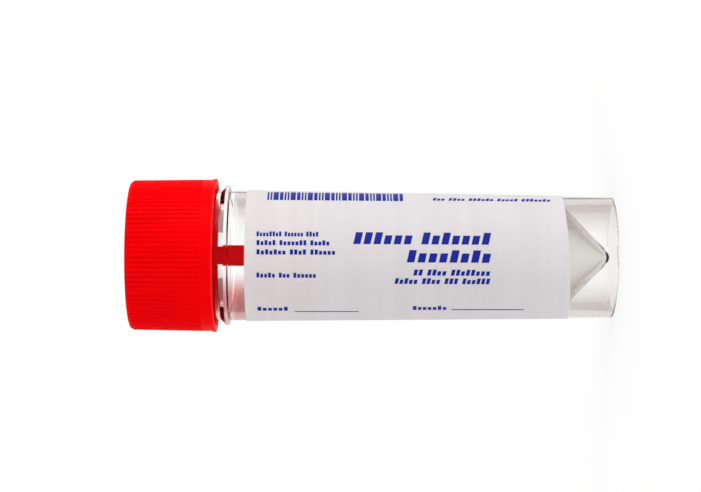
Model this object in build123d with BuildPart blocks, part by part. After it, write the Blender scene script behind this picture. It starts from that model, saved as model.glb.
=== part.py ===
from build123d import *
import math
import os

# Thirty millilitre specimen container: a clear tube that stands on its skirt, a ribbed screw cap,
# a spoon plugged into the cap and a wrap-around label. Millimetres, +Z up along the tube,
# the origin at the centre of the foot's rim. The spoon's bowl opens towards -Y, as does the
# middle of the label.

# Tube
tube_height = 91.0  # from the foot's rim to the mouth
foot_diameter = 23.2  # outside, at the foot's rim
neck_diameter = 25.0  # outside, just under the collar
side_wall = 1.25
mouth_wall = 1.2
rim_round = 0.25  # on the edges of the mouth and of the foot's rim
bore_round = 1.5  # where the bore runs into the cone

# Conical bottom and the skirt around it
cone_half_angle = 45.5
cone_wall = 1.1
cone_lift = 0.6  # the cone's point stays this far above the foot's rim
tip_outside_radius = 1.5
tip_inside_radius = 0.8
skirt_wall = 1.3  # at the rim
skirt_draft = 1.0  # degrees, on the skirt's inside
skirt_root_round = 0.5

# Collar under the thread
collar_gap = 1.0  # between the collar and the cap's rim
collar_diameter = 26.9
collar_crest = 0.6  # width of the flat on the collar's crest
collar_underside = 0.25  # height of the steep flank below the crest
collar_top_slope = 0.95  # height of the long flank above the crest

# Thread, the same ridge on the tube and in the cap
thread_pitch = 3.5
thread_turns = 2.0
thread_height = 0.75  # of the tube's ridge, over the neck between its turns
ridge_foot_width = 1.7
ridge_crest_width = 0.7
ridge_fade = 0.08  # share of the ridge's length over which each end fades out
ridge_end = 0.3  # share of the full height that is left where it ends
ridge_root = 0.2  # depth to which a ridge is rooted in its wall
thread_lead = 3.2  # from the cap's rim up to where the tube's ridge begins
thread_clearance = 0.25  # radial, between crests and roots
thread_play = 0.3  # along the axis, between the flanks that pull the cap down

# Cap
cap_height = 16.4
cap_plate = 1.4
cap_wall = 0.975  # from the thread's root to the outside, where that is narrowest
cap_top_diameter = 28.75  # over the ribs
cap_band_diameter = 29.15
cap_lip_diameter = 29.5
cap_lip_height = 0.45
cap_lip_slope = 0.45  # height of the slope from the lip up to the band
cap_band_height = 2.5  # smooth band at the open end
cap_edge_radius = 0.4
cap_corner_round = 0.8  # inside, under the plate
cap_lead_in = 0.35  # chamfer inside the open end
seal_gap = 0.1  # between the mouth and the cap's plate
rib_count = 96
rib_depth = 0.2
rib_foot_width = 0.62
rib_crest_width = 0.25

# Plug ring that seals the mouth, and the socket that holds the spoon
plug_ring_depth = 3.2
plug_ring_wall = 1.0
plug_ring_chamfer = 0.5  # on the edge that enters the mouth
plug_ring_clearance = 0.08
socket_depth = 6.0
socket_wall = 1.2
socket_clearance = 0.05
socket_end_gap = 0.1

# Spoon
spoon_tip_gap = 10.9  # from the bottom of the cone up to the spoon
spoon_plug_diameter = 4.4
stem_width = 4.0
stem_thickness = 2.0
stem_edge_round = 0.4
stem_reach = 4.25  # how far the stem runs down along the bowl's back
bowl_length = 17.0
bowl_width = 8.8
bowl_depth = 2.9  # outside, from the front face to the back
bowl_wall = 0.8

# Label
label_foot_z = 9.3  # at the middle of its slanted lower edge
label_top_gap = 3.1  # between the label and the collar
label_slant = 3.2  # degrees, of the lower edge
label_wrap = 295.0  # degrees round the tube, the rest is a window at the back
label_thickness = 0.1
label_gap = 0.04  # the layer of glue

# Heights, from the mouth down
plate_z = tube_height + seal_gap
cap_top_z = plate_z + cap_plate
cap_rim_z = cap_top_z - cap_height
thread_start_z = cap_rim_z + thread_lead
collar_top_z = cap_rim_z - collar_gap
collar_slope_z = collar_top_z - collar_top_slope
collar_crest_z = collar_slope_z - collar_crest
collar_foot_z = collar_crest_z - collar_underside
label_top_z = collar_foot_z - label_top_gap

# Radii, from the cap inwards. The bore leaves its full wall at the mouth and at the neck
cap_bore_radius = min(cap_top_diameter, cap_band_diameter, cap_lip_diameter) / 2 - cap_wall
thread_crest_radius = cap_bore_radius - thread_clearance
thread_root_radius = thread_crest_radius - thread_height
neck_radius = neck_diameter / 2
foot_radius = foot_diameter / 2
mouth_radius = min(thread_root_radius - mouth_wall, neck_radius - side_wall)


def outside_radius(z):
    # The tube widens evenly from the foot to the collar
    return foot_radius + (neck_radius - foot_radius) * z / collar_foot_z


# Cone: its straight sides leave the round tip at the tangent point
cone_angle = math.radians(cone_half_angle)
tip_centre_z = cone_lift + tip_outside_radius
tip_side = (
    tip_outside_radius * math.cos(cone_angle),
    tip_centre_z - tip_outside_radius * math.sin(cone_angle),
)
inner_centre_z = tip_centre_z + (tip_inside_radius - tip_outside_radius + cone_wall) / math.sin(cone_angle)
inner_tip_side = (
    tip_inside_radius * math.cos(cone_angle),
    inner_centre_z - tip_inside_radius * math.sin(cone_angle),
)


def cone_z(start, radius):
    # Height at which a cone's side, starting at a tangent point, reaches a radius
    return start[1] + (radius - start[0]) / math.tan(cone_angle)


skirt_rim_radius = foot_radius - skirt_wall
skirt_root_radius = skirt_rim_radius - cone_z(tip_side, skirt_rim_radius) * math.tan(math.radians(skirt_draft))
skirt_root_z = cone_z(tip_side, skirt_root_radius)
bore_foot_radius = outside_radius(skirt_root_z) - side_wall
bore_foot_z = cone_z(inner_tip_side, bore_foot_radius)


def bore_radius(z):
    # The bore narrows evenly from the mouth to the cone
    share = (tube_height - z) / (tube_height - bore_foot_z)
    return mouth_radius + (bore_foot_radius - mouth_radius) * share


def ridge_section(line, spot, share, height):
    # Section of a thread ridge at one spot of its helix. A negative height points inwards
    here = line @ spot
    outwards = Vector(here.X, here.Y, 0).normalized() * math.copysign(1, height)
    crest = abs(height) * share
    with BuildSketch(Plane(here, x_dir=outwards, z_dir=line % spot)) as section:
        with BuildLine():
            Polyline(
                (0, -ridge_foot_width / 2),
                (crest, -ridge_crest_width / 2),
                (crest, ridge_crest_width / 2),
                (0, ridge_foot_width / 2),
                close=True,
            )
        make_face()
    return section.sketch


def thread_ridge(base_radius, height, start_z):
    # A helical ridge that rises from nothing at one end and sinks away at the other
    with BuildPart() as ridge:
        with BuildLine(mode=Mode.PRIVATE) as helix:
            Helix(thread_pitch, thread_pitch * thread_turns, base_radius, center=(0, 0, start_z))
        runs = (
            (0, ridge_fade, ridge_end, 1),
            (ridge_fade, 1 - ridge_fade, 1, 1),
            (1 - ridge_fade, 1, 1, ridge_end),
        )
        for start, end, start_share, end_share in runs:
            run = helix.edge().trim(start, end)
            sections = [
                ridge_section(run, 0, start_share, height),
                ridge_section(run, 1, end_share, height),
            ]
            sweep(sections=sections, path=run, multisection=True, is_frenet=True)
    return ridge.part


# Tube, with the conical bottom inside its skirt
tube_ridge_base = thread_root_radius - ridge_root
tube_ridge = thread_ridge(tube_ridge_base, thread_crest_radius - tube_ridge_base, thread_start_z)

with BuildPart() as tube:
    with BuildSketch(Plane.XZ) as tube_profile:
        with BuildLine():
            Line((0, cone_lift), (0, inner_centre_z - tip_inside_radius))
            RadiusArc((0, inner_centre_z - tip_inside_radius), inner_tip_side, -tip_inside_radius)
            Polyline(
                inner_tip_side,
                (bore_foot_radius, bore_foot_z),
                (mouth_radius, tube_height),
                (thread_root_radius, tube_height),
                (thread_root_radius, collar_top_z),
                (collar_diameter / 2, collar_slope_z),
                (collar_diameter / 2, collar_crest_z),
                (neck_radius, collar_foot_z),
                (foot_radius, 0),
                (skirt_rim_radius, 0),
                (skirt_root_radius, skirt_root_z),
                tip_side,
            )
            RadiusArc(tip_side, (0, cone_lift), tip_outside_radius)
        make_face()
        corners = tube_profile.vertices()
        levels = corners.group_by(Axis.Y)
        fillet(levels[0] + levels[-1], rim_round)
        fillet(corners.sort_by_distance((bore_foot_radius, bore_foot_z))[0], bore_round)
        fillet(corners.sort_by_distance((skirt_root_radius, skirt_root_z))[0], skirt_root_round)
    revolve(axis=Axis.Z)
    add(tube_ridge)

# Cap: a cup with a smooth band at its open end and fine ribs above it
cap_band_top_z = cap_rim_z + cap_band_height
cap_band_radius = cap_band_diameter / 2
cap_lip_radius = cap_lip_diameter / 2
rib_top_z = cap_top_z - cap_edge_radius

plug_ring_foot_z = plate_z - plug_ring_depth
plug_ring_outside = bore_radius(plug_ring_foot_z) - plug_ring_clearance
plug_ring_inside = plug_ring_outside - plug_ring_wall
socket_radius = spoon_plug_diameter / 2 + socket_clearance
socket_foot_z = plate_z - socket_depth
socket_outside = socket_radius + socket_wall

cap_ridge_base = cap_bore_radius + ridge_root
cap_ridge_height = cap_ridge_base - (thread_root_radius + thread_clearance)
flank_slope = (ridge_foot_width - ridge_crest_width) / 2 / (thread_crest_radius - tube_ridge_base)
ridges_apart = ridge_foot_width - flank_slope * (cap_ridge_base - tube_ridge_base) + thread_play
cap_ridge = thread_ridge(cap_ridge_base, -cap_ridge_height, thread_start_z - ridges_apart)


def cap_radius(z):
    # Over the ribs, widening evenly from the plate's edge to the band
    share = (cap_top_z - z) / (cap_top_z - cap_band_top_z)
    return cap_top_diameter / 2 + (cap_band_radius - cap_top_diameter / 2) * share


rib_root_top = cap_radius(rib_top_z) - rib_depth
rib_root_foot = cap_radius(cap_band_top_z) - rib_depth
rib_length = rib_top_z - cap_band_top_z

with BuildPart() as rib:
    with BuildSketch(Plane.XY.offset(cap_band_top_z)):
        Polygon(
            (rib_root_foot - rib_depth, -rib_foot_width / 2),
            (rib_root_foot, -rib_foot_width / 2),
            (cap_band_radius, -rib_crest_width / 2),
            (cap_band_radius, rib_crest_width / 2),
            (rib_root_foot, rib_foot_width / 2),
            (rib_root_foot - rib_depth, rib_foot_width / 2),
            align=None,
        )
    extrude(amount=rib_length, dir=(rib_root_top - rib_root_foot, 0, rib_length))
    crest_end = rib.faces().sort_by(Axis.Z)[-1].edges().sort_by(Axis.X)[-1]
    chamfer(crest_end, rib_depth)

with BuildPart() as cap:
    with BuildSketch(Plane.XZ) as cap_profile:
        with BuildLine():
            Polyline(
                (0, cap_top_z),
                (0, plate_z),
                (plug_ring_inside, plate_z),
                (plug_ring_inside, plug_ring_foot_z),
                (plug_ring_outside, plug_ring_foot_z),
                (plug_ring_outside, plate_z),
                (cap_bore_radius, plate_z),
                (cap_bore_radius, cap_rim_z + cap_lead_in),
                (cap_bore_radius + cap_lead_in, cap_rim_z),
                (cap_lip_radius, cap_rim_z),
                (cap_lip_radius, cap_rim_z + cap_lip_height),
                (cap_band_radius, cap_rim_z + cap_lip_height + cap_lip_slope),
                (cap_band_radius, cap_band_top_z),
                (rib_root_foot, cap_band_top_z),
                (rib_root_top, rib_top_z),
            )
            RadiusArc(
                (rib_root_top, rib_top_z),
                (rib_root_top - cap_edge_radius, cap_top_z),
                -cap_edge_radius,
            )
            Line((rib_root_top - cap_edge_radius, cap_top_z), (0, cap_top_z))
        make_face()
        corners = cap_profile.vertices()
        fillet(corners.sort_by_distance((cap_bore_radius, plate_z))[0], cap_corner_round)
        chamfer(corners.sort_by_distance((plug_ring_outside, plug_ring_foot_z))[0], plug_ring_chamfer)
    revolve(axis=Axis.Z)
    with BuildSketch(Plane.XY.offset(socket_foot_z)):
        Circle(socket_outside)
        Circle(socket_radius, mode=Mode.SUBTRACT)
    extrude(amount=socket_depth)
    add(cap_ridge)
    with PolarLocations(0, rib_count):
        add(rib.part)

# Spoon: a round plug, a flat stem and a bowl hollowed from the front
stem_front_y = -stem_thickness / 2
plug_top_z = plate_z - socket_end_gap
bowl_foot_z = inner_centre_z - tip_inside_radius + spoon_tip_gap
bowl_centre_z = bowl_foot_z + bowl_length / 2
stem_foot_z = bowl_foot_z + bowl_length - stem_reach


def bowl_barrel(width, length, depth):
    # A barrel along the spoon, of which only the slice behind the front face is kept
    turn_radius = ((width / 2) ** 2 + depth**2) / (2 * depth)
    axis_y = stem_front_y + depth - turn_radius
    foot = (stem_front_y, bowl_centre_z - length / 2)
    top = (stem_front_y, bowl_centre_z + length / 2)
    with BuildPart() as barrel:
        with BuildSketch(Plane.YZ):
            with BuildLine():
                ThreePointArc(foot, (stem_front_y + depth, bowl_centre_z), top)
                Polyline(top, (axis_y, top[1]), (axis_y, foot[1]), foot)
            make_face()
        revolve(axis=Axis((0, axis_y, 0), (0, 0, 1)))
        split(bisect_by=Plane(origin=(0, stem_front_y, 0), z_dir=(0, 1, 0)))
    return barrel.part


outer_bowl = bowl_barrel(bowl_width, bowl_length, bowl_depth)
hollow = bowl_barrel(bowl_width - 2 * bowl_wall, bowl_length - 2 * bowl_wall, bowl_depth - bowl_wall)

with BuildPart() as spoon:
    add(outer_bowl)
    with BuildSketch(Plane.XY.offset(stem_foot_z)):
        RectangleRounded(stem_width, stem_thickness, stem_edge_round)
    extrude(amount=socket_foot_z - stem_foot_z)
    with BuildSketch(Plane.XY.offset(socket_foot_z)):
        Circle(spoon_plug_diameter / 2)
    extrude(amount=plug_top_z - socket_foot_z)
    add(hollow, mode=Mode.SUBTRACT)

# Label: a thin conical sleeve with a window at the back
window_edge = math.radians(90 + (360 - label_wrap) / 2)
slant_rise = math.tan(math.radians(label_slant))
label_low_z = label_foot_z - neck_radius * slant_rise
label_inside = [(outside_radius(z) + label_gap, z) for z in (label_low_z, label_top_z)]
label_outside = [(radius + label_thickness, z) for radius, z in label_inside]

with BuildPart() as label:
    window_plane = Plane(
        origin=(0, 0, 0),
        x_dir=(math.cos(window_edge), math.sin(window_edge), 0),
        z_dir=(math.sin(window_edge), -math.cos(window_edge), 0),
    )
    with BuildSketch(window_plane):
        Polygon(*label_inside, *reversed(label_outside), align=None)
    revolve(axis=Axis.Z, revolution_arc=label_wrap)
    split(bisect_by=Plane(origin=(0, 0, label_foot_z), z_dir=(-slant_rise, 0, 1)))

os.makedirs("parts", exist_ok=True)
tube.part.label = "tube"
export_step(tube.part, "parts/tube.step")
cap.part.label = "cap"
export_step(cap.part, "parts/cap.step")
spoon.part.label = "spoon"
export_step(spoon.part, "parts/spoon.step")
label.part.label = "label"
export_step(label.part, "parts/label.step")
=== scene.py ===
import math
import random

import bpy
from mathutils import Matrix, Vector


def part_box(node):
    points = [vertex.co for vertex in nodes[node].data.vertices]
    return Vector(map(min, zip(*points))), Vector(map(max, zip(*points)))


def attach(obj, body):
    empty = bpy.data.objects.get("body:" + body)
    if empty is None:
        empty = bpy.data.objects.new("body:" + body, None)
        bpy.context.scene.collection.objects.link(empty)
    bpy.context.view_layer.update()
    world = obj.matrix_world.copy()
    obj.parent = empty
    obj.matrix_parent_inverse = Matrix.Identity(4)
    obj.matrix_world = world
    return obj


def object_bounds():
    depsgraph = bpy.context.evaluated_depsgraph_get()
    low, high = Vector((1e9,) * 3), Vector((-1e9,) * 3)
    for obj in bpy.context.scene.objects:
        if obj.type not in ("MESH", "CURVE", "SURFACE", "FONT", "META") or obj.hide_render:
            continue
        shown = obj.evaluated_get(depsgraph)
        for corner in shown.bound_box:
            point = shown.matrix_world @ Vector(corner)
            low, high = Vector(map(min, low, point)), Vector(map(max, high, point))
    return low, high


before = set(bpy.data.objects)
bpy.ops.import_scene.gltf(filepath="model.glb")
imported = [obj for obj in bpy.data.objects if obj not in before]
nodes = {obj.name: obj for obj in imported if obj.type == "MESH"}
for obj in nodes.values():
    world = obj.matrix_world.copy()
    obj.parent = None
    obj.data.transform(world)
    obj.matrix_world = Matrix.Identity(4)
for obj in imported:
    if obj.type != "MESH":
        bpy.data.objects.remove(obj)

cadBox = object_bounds()
mm = 0.001
usualNoise = (0.3, 0.7)  # most of a noise's values lie between these

# The container stands on its skirt with the cap on top. The camera lies on its side,
# so that the picture shows it lying with the cap to the left


# Small helpers for node trees

def newMaterial(name):
    material = bpy.data.materials.new(name)
    material.use_nodes = True
    tree = material.node_tree
    tree.nodes.clear()
    return material, tree


def addNode(tree, kind, **settings):
    node = tree.nodes.new(kind)
    for name, value in settings.items():
        setattr(node, name, value)
    return node


def wire(tree, source, target):
    tree.links.new(source, target)


def setInputs(node, values):
    for name, value in values.items():
        node.inputs[name].default_value = value


def objectCoordinates(tree):
    return addNode(tree, "ShaderNodeTexCoord").outputs["Object"]


def stretched(tree, scale):  # object coordinates, scaled for a pattern
    mapping = addNode(tree, "ShaderNodeMapping")
    mapping.inputs["Scale"].default_value = scale
    wire(tree, objectCoordinates(tree), mapping.inputs["Vector"])
    return mapping.outputs["Vector"]


def noise(tree, vector, scale, detail=3, roughness=0.5):
    node = addNode(tree, "ShaderNodeTexNoise")
    setInputs(node, {"Scale": scale, "Detail": detail, "Roughness": roughness})
    wire(tree, vector, node.inputs["Vector"])
    return node.outputs["Fac"]


def ramp(tree, source, stops):  # stops are (place, colour)
    node = addNode(tree, "ShaderNodeValToRGB")
    steps = node.color_ramp.elements
    while len(steps) < len(stops):
        steps.new(0.5)
    for step, (place, colour) in zip(steps, stops):
        step.position = place
        step.color = (*colour, 1)
    wire(tree, source, node.inputs["Fac"])
    return node.outputs["Color"]


def mathNode(tree, operation, first, second=0):
    node = addNode(tree, "ShaderNodeMath", operation=operation)
    for socket, value in zip(node.inputs, (first, second)):
        if isinstance(value, (int, float)):
            socket.default_value = value
        else:
            wire(tree, value, socket)
    return node.outputs[0]


def mapRange(tree, source, low, high, toLow, toHigh):
    node = addNode(tree, "ShaderNodeMapRange")
    setInputs(node, {"From Min": low, "From Max": high, "To Min": toLow, "To Max": toHigh})
    wire(tree, source, node.inputs["Value"])
    return node.outputs["Result"]


def toned(tree, pattern, look):  # from the shade to the colour as the pattern rises
    return ramp(tree, pattern, list(zip(look["spread"], (look["shade"], look["colour"]))))


def uneven(tree, pattern, look):  # a roughness that follows the pattern
    return mapRange(tree, pattern, *usualNoise, *look["roughness"])


def blend(tree, share, first, second, way="MIX"):  # colours, plain or wired
    node = addNode(tree, "ShaderNodeMix", data_type="RGBA", blend_type=way)
    wire(tree, share, node.inputs["Factor"])
    for name, colour in (("A", first), ("B", second)):
        socket = [s for s in node.inputs if s.name == name and s.type == "RGBA"][0]
        if isinstance(colour, tuple):
            socket.default_value = (*colour, 1)
        else:
            wire(tree, colour, socket)
    return [s for s in node.outputs if s.type == "RGBA"][0]


def axisValue(tree, axis):  # one of the object coordinates
    place = addNode(tree, "ShaderNodeSeparateXYZ")
    wire(tree, objectCoordinates(tree), place.inputs["Vector"])
    return place.outputs[axis]


def bump(tree, height, strength, distance):
    node = addNode(tree, "ShaderNodeBump")
    setInputs(node, {"Strength": strength, "Distance": distance})
    wire(tree, height, node.inputs["Height"])
    return node.outputs["Normal"]


def finishMaterial(tree, shader):
    output = addNode(tree, "ShaderNodeOutputMaterial")
    wire(tree, shader, output.inputs["Surface"])


def letThrough(tree, shader, colour, share):  # part of the light passes and scatters, as in a thin wall
    scattered = addNode(tree, "ShaderNodeBsdfTranslucent")
    wire(tree, colour, scattered.inputs["Color"])
    mix = addNode(tree, "ShaderNodeMixShader")
    mix.inputs["Fac"].default_value = share
    wire(tree, shader.outputs["BSDF"], mix.inputs[1])
    wire(tree, scattered.outputs["BSDF"], mix.inputs[2])
    return mix.outputs["Shader"]


def dress(name, material):
    slots = nodes[name].material_slots
    for slot in slots:
        slot.material = material
    if not slots:
        nodes[name].data.materials.append(material)


# Clear tube

tubeLook = {
    "colour": (0.985, 0.985, 0.98),
    "shade": (0.970, 0.970, 0.965),
    "spread": usualNoise,
    "edges": [  # how far the surface turns away, and the painted shade of its wall there
        (0.04, (1, 1, 1)),
        (0.42, (0.72, 0.69, 0.665)),
        (0.52, (0.58, 0.53, 0.49)),
    ],
    "edgeTop": 72.4 * mm,  # the collar above this height stays clear of the painted edge shade
    "paintedReflectionColour": (0.78, 0.46, 0.46),  # painted reflection: red light from the cap, painted as a pink tint into the wall under it
    "paintedReflectionTop": 66 * mm,  # the painted reflection is full above this height
    "paintedReflectionFoot": 50 * mm,
    "paintedReflectionSide": (-3.6 * mm, -8.0 * mm),  # the painted reflection lies on the side away from the key lamp
    "mirror": 0.05,  # share of the reflection seen straight on
    "index": 1.59,
    "roughness": (0.015, 0.045),
    "flowStretch": (1, 1, 0.12),  # the moulding's waviness runs along the tube
    "flowScale": 260,
    "hazeScale": 900,
    "ripple": 0.12,
    "rippleDepth": 0.05 * mm,
    "lampsPassed": 0.95,  # share of the lamps' and of scattered light that passes the wall
}


def clearPolystyrene(look):
    material, tree = newMaterial("clearPolystyrene")
    shader = addNode(tree, "ShaderNodeBsdfPrincipled")
    setInputs(shader, {
        "IOR": look["index"],
        "Transmission Weight": 1.0,
        "Specular Tint": (*[look["mirror"]] * 3, 1),
    })
    flow = noise(tree, stretched(tree, look["flowStretch"]), look["flowScale"], 2)
    haze = noise(tree, objectCoordinates(tree), look["hazeScale"], 4)
    z = axisValue(tree, "Z")
    # painted reflection: a pink tint painted high on the tube, on the side away from the key lamp, for red
    # light from the cap
    high = mapRange(tree, z, look["paintedReflectionFoot"], look["paintedReflectionTop"], 0, 1)
    side = mapRange(tree, axisValue(tree, "X"), *look["paintedReflectionSide"], 0, 1)
    share = mathNode(tree, "MULTIPLY", high, side)
    paintedReflection = blend(tree, share, toned(tree, flow, look), look["paintedReflectionColour"])
    # painted shade: the wall's colour turns grey where the surface turns away from view, below the collar
    facing = addNode(tree, "ShaderNodeLayerWeight")
    edge = ramp(tree, facing.outputs["Facing"], look["edges"])
    below = mathNode(tree, "LESS_THAN", z, look["edgeTop"])
    wire(tree, blend(tree, below, paintedReflection, edge, "MULTIPLY"), shader.inputs["Base Color"])
    wire(tree, uneven(tree, haze, look), shader.inputs["Roughness"])
    wire(tree, bump(tree, flow, look["ripple"], look["rippleDepth"]), shader.inputs["Normal"])
    passed = addNode(tree, "ShaderNodeBsdfTransparent")
    passed.inputs["Color"].default_value = (*[look["lampsPassed"]] * 3, 1)
    rays = addNode(tree, "ShaderNodeLightPath").outputs
    mix = addNode(tree, "ShaderNodeMixShader")
    wire(tree, mathNode(tree, "MAXIMUM", rays["Is Shadow Ray"], rays["Is Diffuse Ray"]), mix.inputs["Fac"])
    wire(tree, shader.outputs["BSDF"], mix.inputs[1])
    wire(tree, passed.outputs["BSDF"], mix.inputs[2])
    finishMaterial(tree, mix.outputs["Shader"])
    return material


dress("tube", clearPolystyrene(tubeLook))
print("tube: clear polystyrene")


# Red cap

capLook = {
    "colour": (0.97, 0.0008, 0.003),
    "shade": (0.89, 0.0006, 0.0035),
    "spread": (0.3, 0.65),
    "roughness": (0.28, 0.42),
    "index": 1.51,
    "gloss": 0.015,
    "cloudScale": 120,
    "grainScale": 2600,
    "glow": 0.3,  # share of the light that passes through the wall
    "paintedLipHighlight": (1.0, 0.014, 0.018),  # painted highlight: a paler red painted on the thin lip at the open end
    "lipHeight": 0.35 * mm,
    "grain": 0.10,
    "grainDepth": 0.02 * mm,
}


def redPolyethylene(look):
    material, tree = newMaterial("redPolyethylene")
    shader = addNode(tree, "ShaderNodeBsdfPrincipled")
    setInputs(shader, {"IOR": look["index"], "Specular IOR Level": look["gloss"]})
    clouds = noise(tree, objectCoordinates(tree), look["cloudScale"], 3)
    grain = noise(tree, objectCoordinates(tree), look["grainScale"], 3, 0.6)
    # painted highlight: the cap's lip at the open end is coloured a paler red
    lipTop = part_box("cap")[0][2] + look["lipHeight"]
    lipHighlight = mathNode(tree, "LESS_THAN", axisValue(tree, "Z"), lipTop)
    colour = blend(tree, lipHighlight, toned(tree, clouds, look), look["paintedLipHighlight"])
    wire(tree, colour, shader.inputs["Base Color"])
    wire(tree, uneven(tree, grain, look), shader.inputs["Roughness"])
    wire(tree, bump(tree, grain, look["grain"], look["grainDepth"]), shader.inputs["Normal"])
    finishMaterial(tree, letThrough(tree, shader, colour, look["glow"]))
    return material


dress("cap", redPolyethylene(capLook))
print("cap: red polyethylene")


# Deep red spoon

spoonLook = {
    "colour": (0.86, 0.0006, 0.004),
    "shade": (0.79, 0.0005, 0.003),
    "spread": usualNoise,
    "roughness": (0.30, 0.43),
    "index": 1.59,
    "gloss": 0.02,
    "flowStretch": (1, 1, 0.1),
    "flowScale": 500,
    "flow": 0.15,
    "flowDepth": 0.03 * mm,
}


def redPolystyrene(look):
    material, tree = newMaterial("redPolystyrene")
    shader = addNode(tree, "ShaderNodeBsdfPrincipled")
    setInputs(shader, {"IOR": look["index"], "Specular IOR Level": look["gloss"]})
    streaks = noise(tree, stretched(tree, look["flowStretch"]), look["flowScale"], 3)
    wire(tree, toned(tree, streaks, look), shader.inputs["Base Color"])
    wire(tree, uneven(tree, streaks, look), shader.inputs["Roughness"])
    wire(tree, bump(tree, streaks, look["flow"], look["flowDepth"]), shader.inputs["Normal"])
    finishMaterial(tree, shader.outputs["BSDF"])
    return material


dress("spoon", redPolystyrene(spoonLook))
print("spoon: deep red polystyrene")


# White label

labelLook = {
    "colour": (0.87, 0.856, 0.864),
    "shade": (0.845, 0.831, 0.839),
    "spread": (0.35, 0.65),
    "roughness": (0.47, 0.65),
    "index": 1.45,
    "gloss": 0.3,
    "bandStretch": (0.05, 0.05, 1),  # faint bands run round the sheet
    "bandScale": 420,
    "fibreScale": 3800,
    "fibre": 0.12,
    "fibreDepth": 0.015 * mm,
    "through": 0.45,  # share of the light that passes the sheet
}


def labelPaper(look):
    material, tree = newMaterial("labelPaper")
    shader = addNode(tree, "ShaderNodeBsdfPrincipled")
    setInputs(shader, {"IOR": look["index"], "Specular IOR Level": look["gloss"]})
    bands = noise(tree, stretched(tree, look["bandStretch"]), look["bandScale"], 2)
    fibres = noise(tree, objectCoordinates(tree), look["fibreScale"], 4, 0.65)
    colour = toned(tree, bands, look)
    wire(tree, colour, shader.inputs["Base Color"])
    wire(tree, uneven(tree, fibres, look), shader.inputs["Roughness"])
    wire(tree, bump(tree, fibres, look["fibre"], look["fibreDepth"]), shader.inputs["Normal"])
    finishMaterial(tree, letThrough(tree, shader, colour, look["through"]))
    return material


dress("label", labelPaper(labelLook))
print("label: white paper")


# Print on the label: lines of plain letter blocks, two write-on rules and a row of bars

inkLook = {
    "colour": (0.003, 0.014, 0.29),
    "shade": (0.002, 0.010, 0.22),
    "spread": (0.35, 0.65),
    "roughness": (0.4, 0.6),
    "index": 1.45,
    "gloss": 0.2,
    "coverageScale": 3000,
    "thickness": 0.012 * mm,
    "lift": 0.014 * mm,  # from the paper to the middle of the ink
    "steps": 9,  # points up a block, so that a tall one bends round the tube
}

# Each line of blocks: z where it starts and ends, arc of its base line, height of its tall
# blocks, slant, words as counts of blocks. In millimetres, the arc from the front towards +X
lineColumns = ("start", "end", "base", "tall", "slant", "words")
lineRows = [
    # four small lines
    (68.0, 56.3, 3.75, 0.95, 0, (8, 6, 4)),
    (68.0, 54.2, 2.05, 0.95, 0, (5, 7, 5)),
    (68.0, 53.1, 0.3, 0.95, 0, (7, 4, 6)),
    (68.0, 56.7, -4.1, 0.95, 0, (5, 3, 6)),
    # two title lines
    (50.1, 24.2, 2.35, 2.3, 0.22, (6, 7)),
    (40.1, 24.1, -1.05, 2.3, 0.22, (8,)),
    # two notes under the title
    (38.7, 24.2, -3.55, 1.15, 0.22, (2, 4, 8)),
    (42.2, 24.2, -5.25, 1.15, 0.22, (5, 4, 3, 6)),
    # the names of two fields to fill in
    (68.0, 62.0, -12.2, 1.25, 0, (6,)),
    (38.6, 32.0, -11.85, 1.25, 0, (7,)),
    # a line at the label's edge
    (34.9, 12.4, 13.0, 1.2, 0.22, (3, 4, 6, 5, 7)),
]
textLines = [dict(zip(lineColumns, row)) for row in lineRows]

blockShape = {
    "low": 0.74,  # height of a low block, as a share of a tall one
    "gap": 0.3,  # space between blocks, as a share of a block's pitch
    "wordSpace": 0.75,  # space between words, in pitches
    "tallShare": 0.3,
    "seed": 12,
}

rules = [  # the arc of a rule's middle, and how broad it is
    {"start": 60.85, "end": 48.7, "arc": -12.5, "weight": 0.26},
    {"start": 31.1, "end": 17.4, "arc": -11.75, "weight": 0.26},
]

barRow = {
    "start": 66.15,
    "end": 40.4,
    "arcs": (12.65, 16.7),
    "bars": (1, 1, 3, 2, 1, 1, 3, 2),  # widths of a group of bars, in units, repeated along the row
    "groups": 4,
    "gap": 0.8,  # space between bars, in units
}


def lineMarks(line, shape, randomiser):
    count = sum(line["words"]) + shape["wordSpace"] * (len(line["words"]) - 1)
    pitch = (line["start"] - line["end"]) / count
    place = line["start"]
    marks = []
    for word in line["words"]:
        for index in range(word):
            tall = index == 0 or randomiser.random() < shape["tallShare"]
            height = line["tall"] * (1 if tall else shape["low"])
            width = pitch * (1 - shape["gap"])
            middle = line["base"] + height / 2
            marks.append((place - pitch / 2, middle, width, height, line["base"], line["slant"]))
            place -= pitch
        place -= pitch * shape["wordSpace"]
    return marks


def ruleMarks(rule):
    middle = (rule["start"] + rule["end"]) / 2
    return [(middle, rule["arc"], rule["start"] - rule["end"], rule["weight"], rule["arc"], 0)]


def barMarks(row):
    widths = row["bars"] * row["groups"]
    units = sum(widths) + row["gap"] * (len(widths) - 1)
    unit = (row["start"] - row["end"]) / units
    low, high = row["arcs"]
    place = row["start"]
    marks = []
    for width in widths:
        marks.append((place - unit * width / 2, (low + high) / 2, unit * width, high - low, low, 0))
        place -= unit * (width + row["gap"])
    return marks


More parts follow.
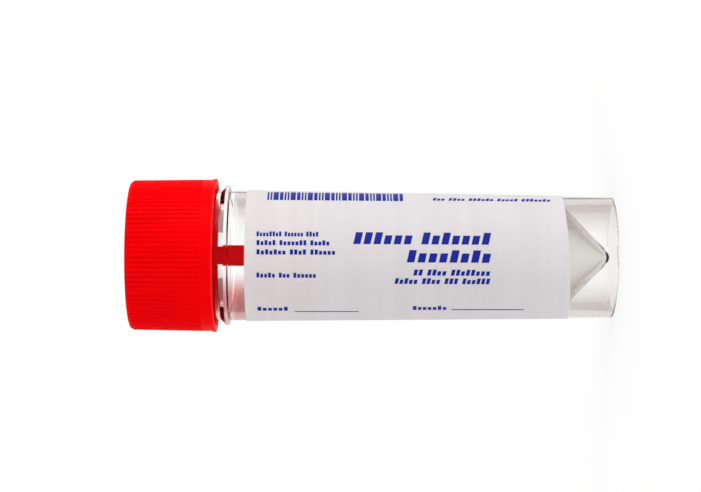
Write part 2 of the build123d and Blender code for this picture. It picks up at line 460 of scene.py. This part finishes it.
def wrapTree():
    tree = bpy.data.node_groups.new("printRoundLabel", "GeometryNodeTree")
    tree.is_modifier = True
    sockets = tree.interface
    sockets.new_socket("Geometry", in_out="INPUT", socket_type="NodeSocketGeometry")
    for name in ("Foot Radius", "Taper", "Lift", "Thickness"):
        sockets.new_socket(name, in_out="INPUT", socket_type="NodeSocketFloat")
    sockets.new_socket("Steps", in_out="INPUT", socket_type="NodeSocketInt")
    sockets.new_socket("Material", in_out="INPUT", socket_type="NodeSocketMaterial")
    sockets.new_socket("Geometry", in_out="OUTPUT", socket_type="NodeSocketGeometry")
    given = addNode(tree, "NodeGroupInput").outputs
    block = addNode(tree, "GeometryNodeMeshCube")
    block.inputs["Size"].default_value = (1, 1, 1)
    wire(tree, given["Steps"], block.inputs["Vertices Y"])
    size = addNode(tree, "GeometryNodeInputNamedAttribute", data_type="FLOAT_VECTOR")
    size.inputs["Name"].default_value = "markSize"
    instances = addNode(tree, "GeometryNodeInstanceOnPoints")
    wire(tree, given["Geometry"], instances.inputs["Points"])
    wire(tree, block.outputs["Mesh"], instances.inputs["Instance"])
    wire(tree, size.outputs["Attribute"], instances.inputs["Scale"])
    real = addNode(tree, "GeometryNodeRealizeInstances")
    wire(tree, instances.outputs["Instances"], real.inputs["Geometry"])

    # Flat layout: X along the line, Y up the line, Z out of the paper
    flat = addNode(tree, "ShaderNodeSeparateXYZ")
    wire(tree, addNode(tree, "GeometryNodeInputPosition").outputs["Position"], flat.inputs["Vector"])
    base = addNode(tree, "GeometryNodeInputNamedAttribute", data_type="FLOAT")
    base.inputs["Name"].default_value = "markBase"
    slant = addNode(tree, "GeometryNodeInputNamedAttribute", data_type="FLOAT")
    slant.inputs["Name"].default_value = "markSlant"
    above = mathNode(tree, "SUBTRACT", flat.outputs["Y"], base.outputs["Attribute"])
    lean = mathNode(tree, "MULTIPLY", above, slant.outputs["Attribute"])
    height = mathNode(tree, "SUBTRACT", flat.outputs["X"], lean)
    paper = mathNode(tree, "ADD", given["Foot Radius"], mathNode(tree, "MULTIPLY", height, given["Taper"]))
    angle = mathNode(tree, "DIVIDE", flat.outputs["Y"], paper)
    raised = mathNode(tree, "MULTIPLY", flat.outputs["Z"], given["Thickness"])
    radius = mathNode(tree, "ADD", mathNode(tree, "ADD", paper, given["Lift"]), raised)
    side = mathNode(tree, "MULTIPLY", radius, mathNode(tree, "SINE", angle))
    front = mathNode(tree, "MULTIPLY", radius, mathNode(tree, "COSINE", angle))
    spot = addNode(tree, "ShaderNodeCombineXYZ")
    wire(tree, side, spot.inputs["X"])
    wire(tree, mathNode(tree, "MULTIPLY", front, -1), spot.inputs["Y"])
    wire(tree, height, spot.inputs["Z"])
    move = addNode(tree, "GeometryNodeSetPosition")
    wire(tree, real.outputs["Geometry"], move.inputs["Geometry"])
    wire(tree, spot.outputs["Vector"], move.inputs["Position"])
    outwards = addNode(tree, "GeometryNodeFlipFaces")
    wire(tree, move.outputs["Geometry"], outwards.inputs["Mesh"])
    paint = addNode(tree, "GeometryNodeSetMaterial")
    wire(tree, outwards.outputs["Mesh"], paint.inputs["Geometry"])
    wire(tree, given["Material"], paint.inputs["Material"])
    result = addNode(tree, "NodeGroupOutput")
    wire(tree, paint.outputs["Geometry"], result.inputs["Geometry"])
    return tree


def blueInk(look):
    material, tree = newMaterial("blueInk")
    shader = addNode(tree, "ShaderNodeBsdfPrincipled")
    setInputs(shader, {"IOR": look["index"], "Specular IOR Level": look["gloss"]})
    coverage = noise(tree, objectCoordinates(tree), look["coverageScale"], 3, 0.6)
    wire(tree, toned(tree, coverage, look), shader.inputs["Base Color"])
    wire(tree, uneven(tree, coverage, look), shader.inputs["Roughness"])
    finishMaterial(tree, shader.outputs["BSDF"])
    return material


def paperCone():  # radius of the label's face at z = 0, and how much it grows with z
    corners = [Vector(v.co) for v in nodes["label"].data.vertices]
    nearEdge = 0.1 * mm
    top = max(c.z for c in corners)
    low = min(c.z for c in corners)
    topRadius = max(c.xy.length for c in corners if c.z > top - nearEdge)
    lowRadius = max(c.xy.length for c in corners if c.z < low + nearEdge)
    taper = (topRadius - lowRadius) / (top - low)
    return lowRadius - taper * low, taper


def printMarks(name, marks, tree, material):
    mesh = bpy.data.meshes.new(name + "Spots")
    mesh.from_pydata([(z * mm, arc * mm, 0) for z, arc, *_ in marks], [], [])
    sizes = [value for _, _, width, height, _, _ in marks for value in (width * mm, height * mm, 1)]
    bases = [base * mm for *_, base, _ in marks]
    slants = [slant for *_, slant in marks]
    mesh.attributes.new("markSize", "FLOAT_VECTOR", "POINT").data.foreach_set("vector", sizes)
    mesh.attributes.new("markBase", "FLOAT", "POINT").data.foreach_set("value", bases)
    mesh.attributes.new("markSlant", "FLOAT", "POINT").data.foreach_set("value", slants)
    spots = bpy.data.objects.new(name + "Spots", mesh)
    bpy.context.collection.objects.link(spots)
    footRadius, taper = paperCone()
    values = {
        "Foot Radius": footRadius,
        "Taper": taper,
        "Lift": inkLook["lift"],
        "Thickness": inkLook["thickness"],
        "Steps": inkLook["steps"],
        "Material": material,
    }
    modifier = spots.modifiers.new("print", "NODES")
    modifier.node_group = tree
    for item in tree.interface.items_tree:
        if item.in_out == "INPUT" and item.name in values:
            modifier[item.identifier] = values[item.name]
    evaluated = spots.evaluated_get(bpy.context.evaluated_depsgraph_get())
    plain = bpy.data.meshes.new_from_object(evaluated)
    plain.materials.clear()  # the blocks bring an empty slot along
    plain.materials.append(material)
    plain.polygons.foreach_set("material_index", [0] * len(plain.polygons))
    printed = bpy.data.objects.new(name, plain)
    bpy.context.collection.objects.link(printed)
    bpy.data.objects.remove(spots)
    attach(printed, "container")


wrap = wrapTree()
ink = blueInk(inkLook)
randomiser = random.Random(blockShape["seed"])
textMarks = [mark for line in textLines for mark in lineMarks(line, blockShape, randomiser)]
printMarks("labelText", textMarks, wrap, ink)
printMarks("labelRules", [mark for rule in rules for mark in ruleMarks(rule)], wrap, ink)
printMarks("labelBars", barMarks(barRow), wrap, ink)
print("label: print", len(textMarks), "blocks")


# Camera, lying on its side

cameraView = {
    "distance": 405 * mm,  # from the tube's axis
    "height": 50.33 * mm,
    "aside": 1.95 * mm,
    "lens": 107.9,  # millimetres, as is the sensor's width
    "sensor": 36,
    "clip": (0.01, 20),
    "roll": 0.3,  # degrees
}


def addCamera(look):
    camera = bpy.data.cameras.new("camera")
    camera.lens = look["lens"]
    camera.sensor_width = look["sensor"]
    camera.clip_start, camera.clip_end = look["clip"]
    body = bpy.data.objects.new("camera", camera)
    bpy.context.collection.objects.link(body)
    roll = math.radians(look["roll"])
    right = Vector((math.sin(roll), 0, -math.cos(roll)))
    up = Vector((math.cos(roll), 0, math.sin(roll)))
    back = Vector((0, -1, 0))
    turn = Matrix((right, up, back)).transposed().to_4x4()
    spot = Vector((look["aside"], -look["distance"], look["height"]))
    body.matrix_world = Matrix.Translation(spot) @ turn
    bpy.context.scene.camera = body


addCamera(cameraView)
print("camera")


# Studio

lamps = [  # round ones, in metres and watts
    {
        "name": "keyLamp", "spot": (0.50, -0.28, 0.20), "size": 0.40,
        "power": 1.7, "colour": (1, 0.99, 0.975),
    },
    {
        "name": "fillLamp", "spot": (-0.45, -0.35, 0.30), "size": 0.50,
        "power": 0.7, "colour": (1, 0.985, 0.985),
    },
    {
        "name": "topLamp", "spot": (0.05, 0.25, 0.60), "size": 0.50,
        "power": 0.7, "colour": (1, 1, 1),
    },
]

studio = {
    "fill": 0.72,  # strength of the light from all round
    "fillColour": (1.0, 0.985, 0.985),
    "floorColour": (0.95, 0.95, 0.95),
    "floorShade": (0.936, 0.936, 0.936),
    "floorClouds": 6,
    "floorRadius": 3.0,
    "floorSteps": 96,
    "floorDrop": 0.02 * mm,  # below the foot, so that the two faces don't meet
    "shadowShare": 0.3,  # of the floor's own light and shade, near the container
    "shadowReach": (0.01, 0.09),  # from the axis, where that begins to fade and where it ends
}


def addLamp(look):
    lamp = bpy.data.lights.new(look["name"], "AREA")
    lamp.shape = "DISK"
    lamp.size = look["size"]
    lamp.energy = look["power"]
    lamp.color = look["colour"]
    body = bpy.data.objects.new(look["name"], lamp)
    bpy.context.collection.objects.link(body)
    spot = Vector(look["spot"])
    aim = (cadBox[0] + cadBox[1]) / 2 - spot
    body.matrix_world = Matrix.Translation(spot) @ aim.to_track_quat("-Z", "Y").to_matrix().to_4x4()


def seenDirectly(tree):  # 1 for rays that show the background, also by way of glass and gloss
    rays = addNode(tree, "ShaderNodeLightPath").outputs
    glass = mathNode(tree, "MAXIMUM", rays["Is Glossy Ray"], rays["Is Transmission Ray"])
    return mathNode(tree, "MAXIMUM", rays["Is Camera Ray"], glass)


def addWorld(look):
    world = bpy.data.worlds.new("studio")
    bpy.context.scene.world = world
    world.use_nodes = True
    tree = world.node_tree
    tree.nodes.clear()
    fill = addNode(tree, "ShaderNodeBackground")
    fill.inputs["Color"].default_value = (*look["fillColour"], 1)
    fill.inputs["Strength"].default_value = look["fill"]
    white = addNode(tree, "ShaderNodeBackground")
    white.inputs["Color"].default_value = (1, 1, 1, 1)
    mix = addNode(tree, "ShaderNodeMixShader")
    wire(tree, seenDirectly(tree), mix.inputs["Fac"])
    wire(tree, fill.outputs["Background"], mix.inputs[1])
    wire(tree, white.outputs["Background"], mix.inputs[2])
    output = addNode(tree, "ShaderNodeOutputWorld")
    wire(tree, mix.outputs["Shader"], output.inputs["Surface"])


def floorPaint(look):
    material, tree = newMaterial("floorPaint")
    matte = addNode(tree, "ShaderNodeBsdfDiffuse")
    cloud = noise(tree, objectCoordinates(tree), look["floorClouds"], 2)
    colour = ramp(tree, cloud, list(zip(usualNoise, (look["floorShade"], look["floorColour"]))))
    wire(tree, colour, matte.inputs["Color"])
    glow = addNode(tree, "ShaderNodeEmission")
    distance = addNode(tree, "ShaderNodeVectorMath", operation="LENGTH")
    wire(tree, objectCoordinates(tree), distance.inputs[0])
    near, far = look["shadowReach"]
    white = mapRange(tree, distance.outputs["Value"], near, far, 1 - look["shadowShare"], 1)
    mix = addNode(tree, "ShaderNodeMixShader")
    wire(tree, mathNode(tree, "MULTIPLY", seenDirectly(tree), white), mix.inputs["Fac"])
    wire(tree, matte.outputs["BSDF"], mix.inputs[1])
    wire(tree, glow.outputs["Emission"], mix.inputs[2])
    finishMaterial(tree, mix.outputs["Shader"])
    return material


def addFloor(look):
    mesh = bpy.data.meshes.new("floor")
    steps, radius = look["floorSteps"], look["floorRadius"]
    level = cadBox[0].z - look["floorDrop"]
    angles = [2 * math.pi * step / steps for step in range(steps)]
    rim = [(math.cos(angle) * radius, math.sin(angle) * radius, level) for angle in angles]
    mesh.from_pydata(rim, [], [list(range(steps))])
    mesh.materials.append(floorPaint(look))
    floor = bpy.data.objects.new("floor", mesh)
    bpy.context.collection.objects.link(floor)


for lamp in lamps:
    addLamp(lamp)
addWorld(studio)
addFloor(studio)
bpy.context.scene.view_settings.view_transform = "Standard"
print("studio")
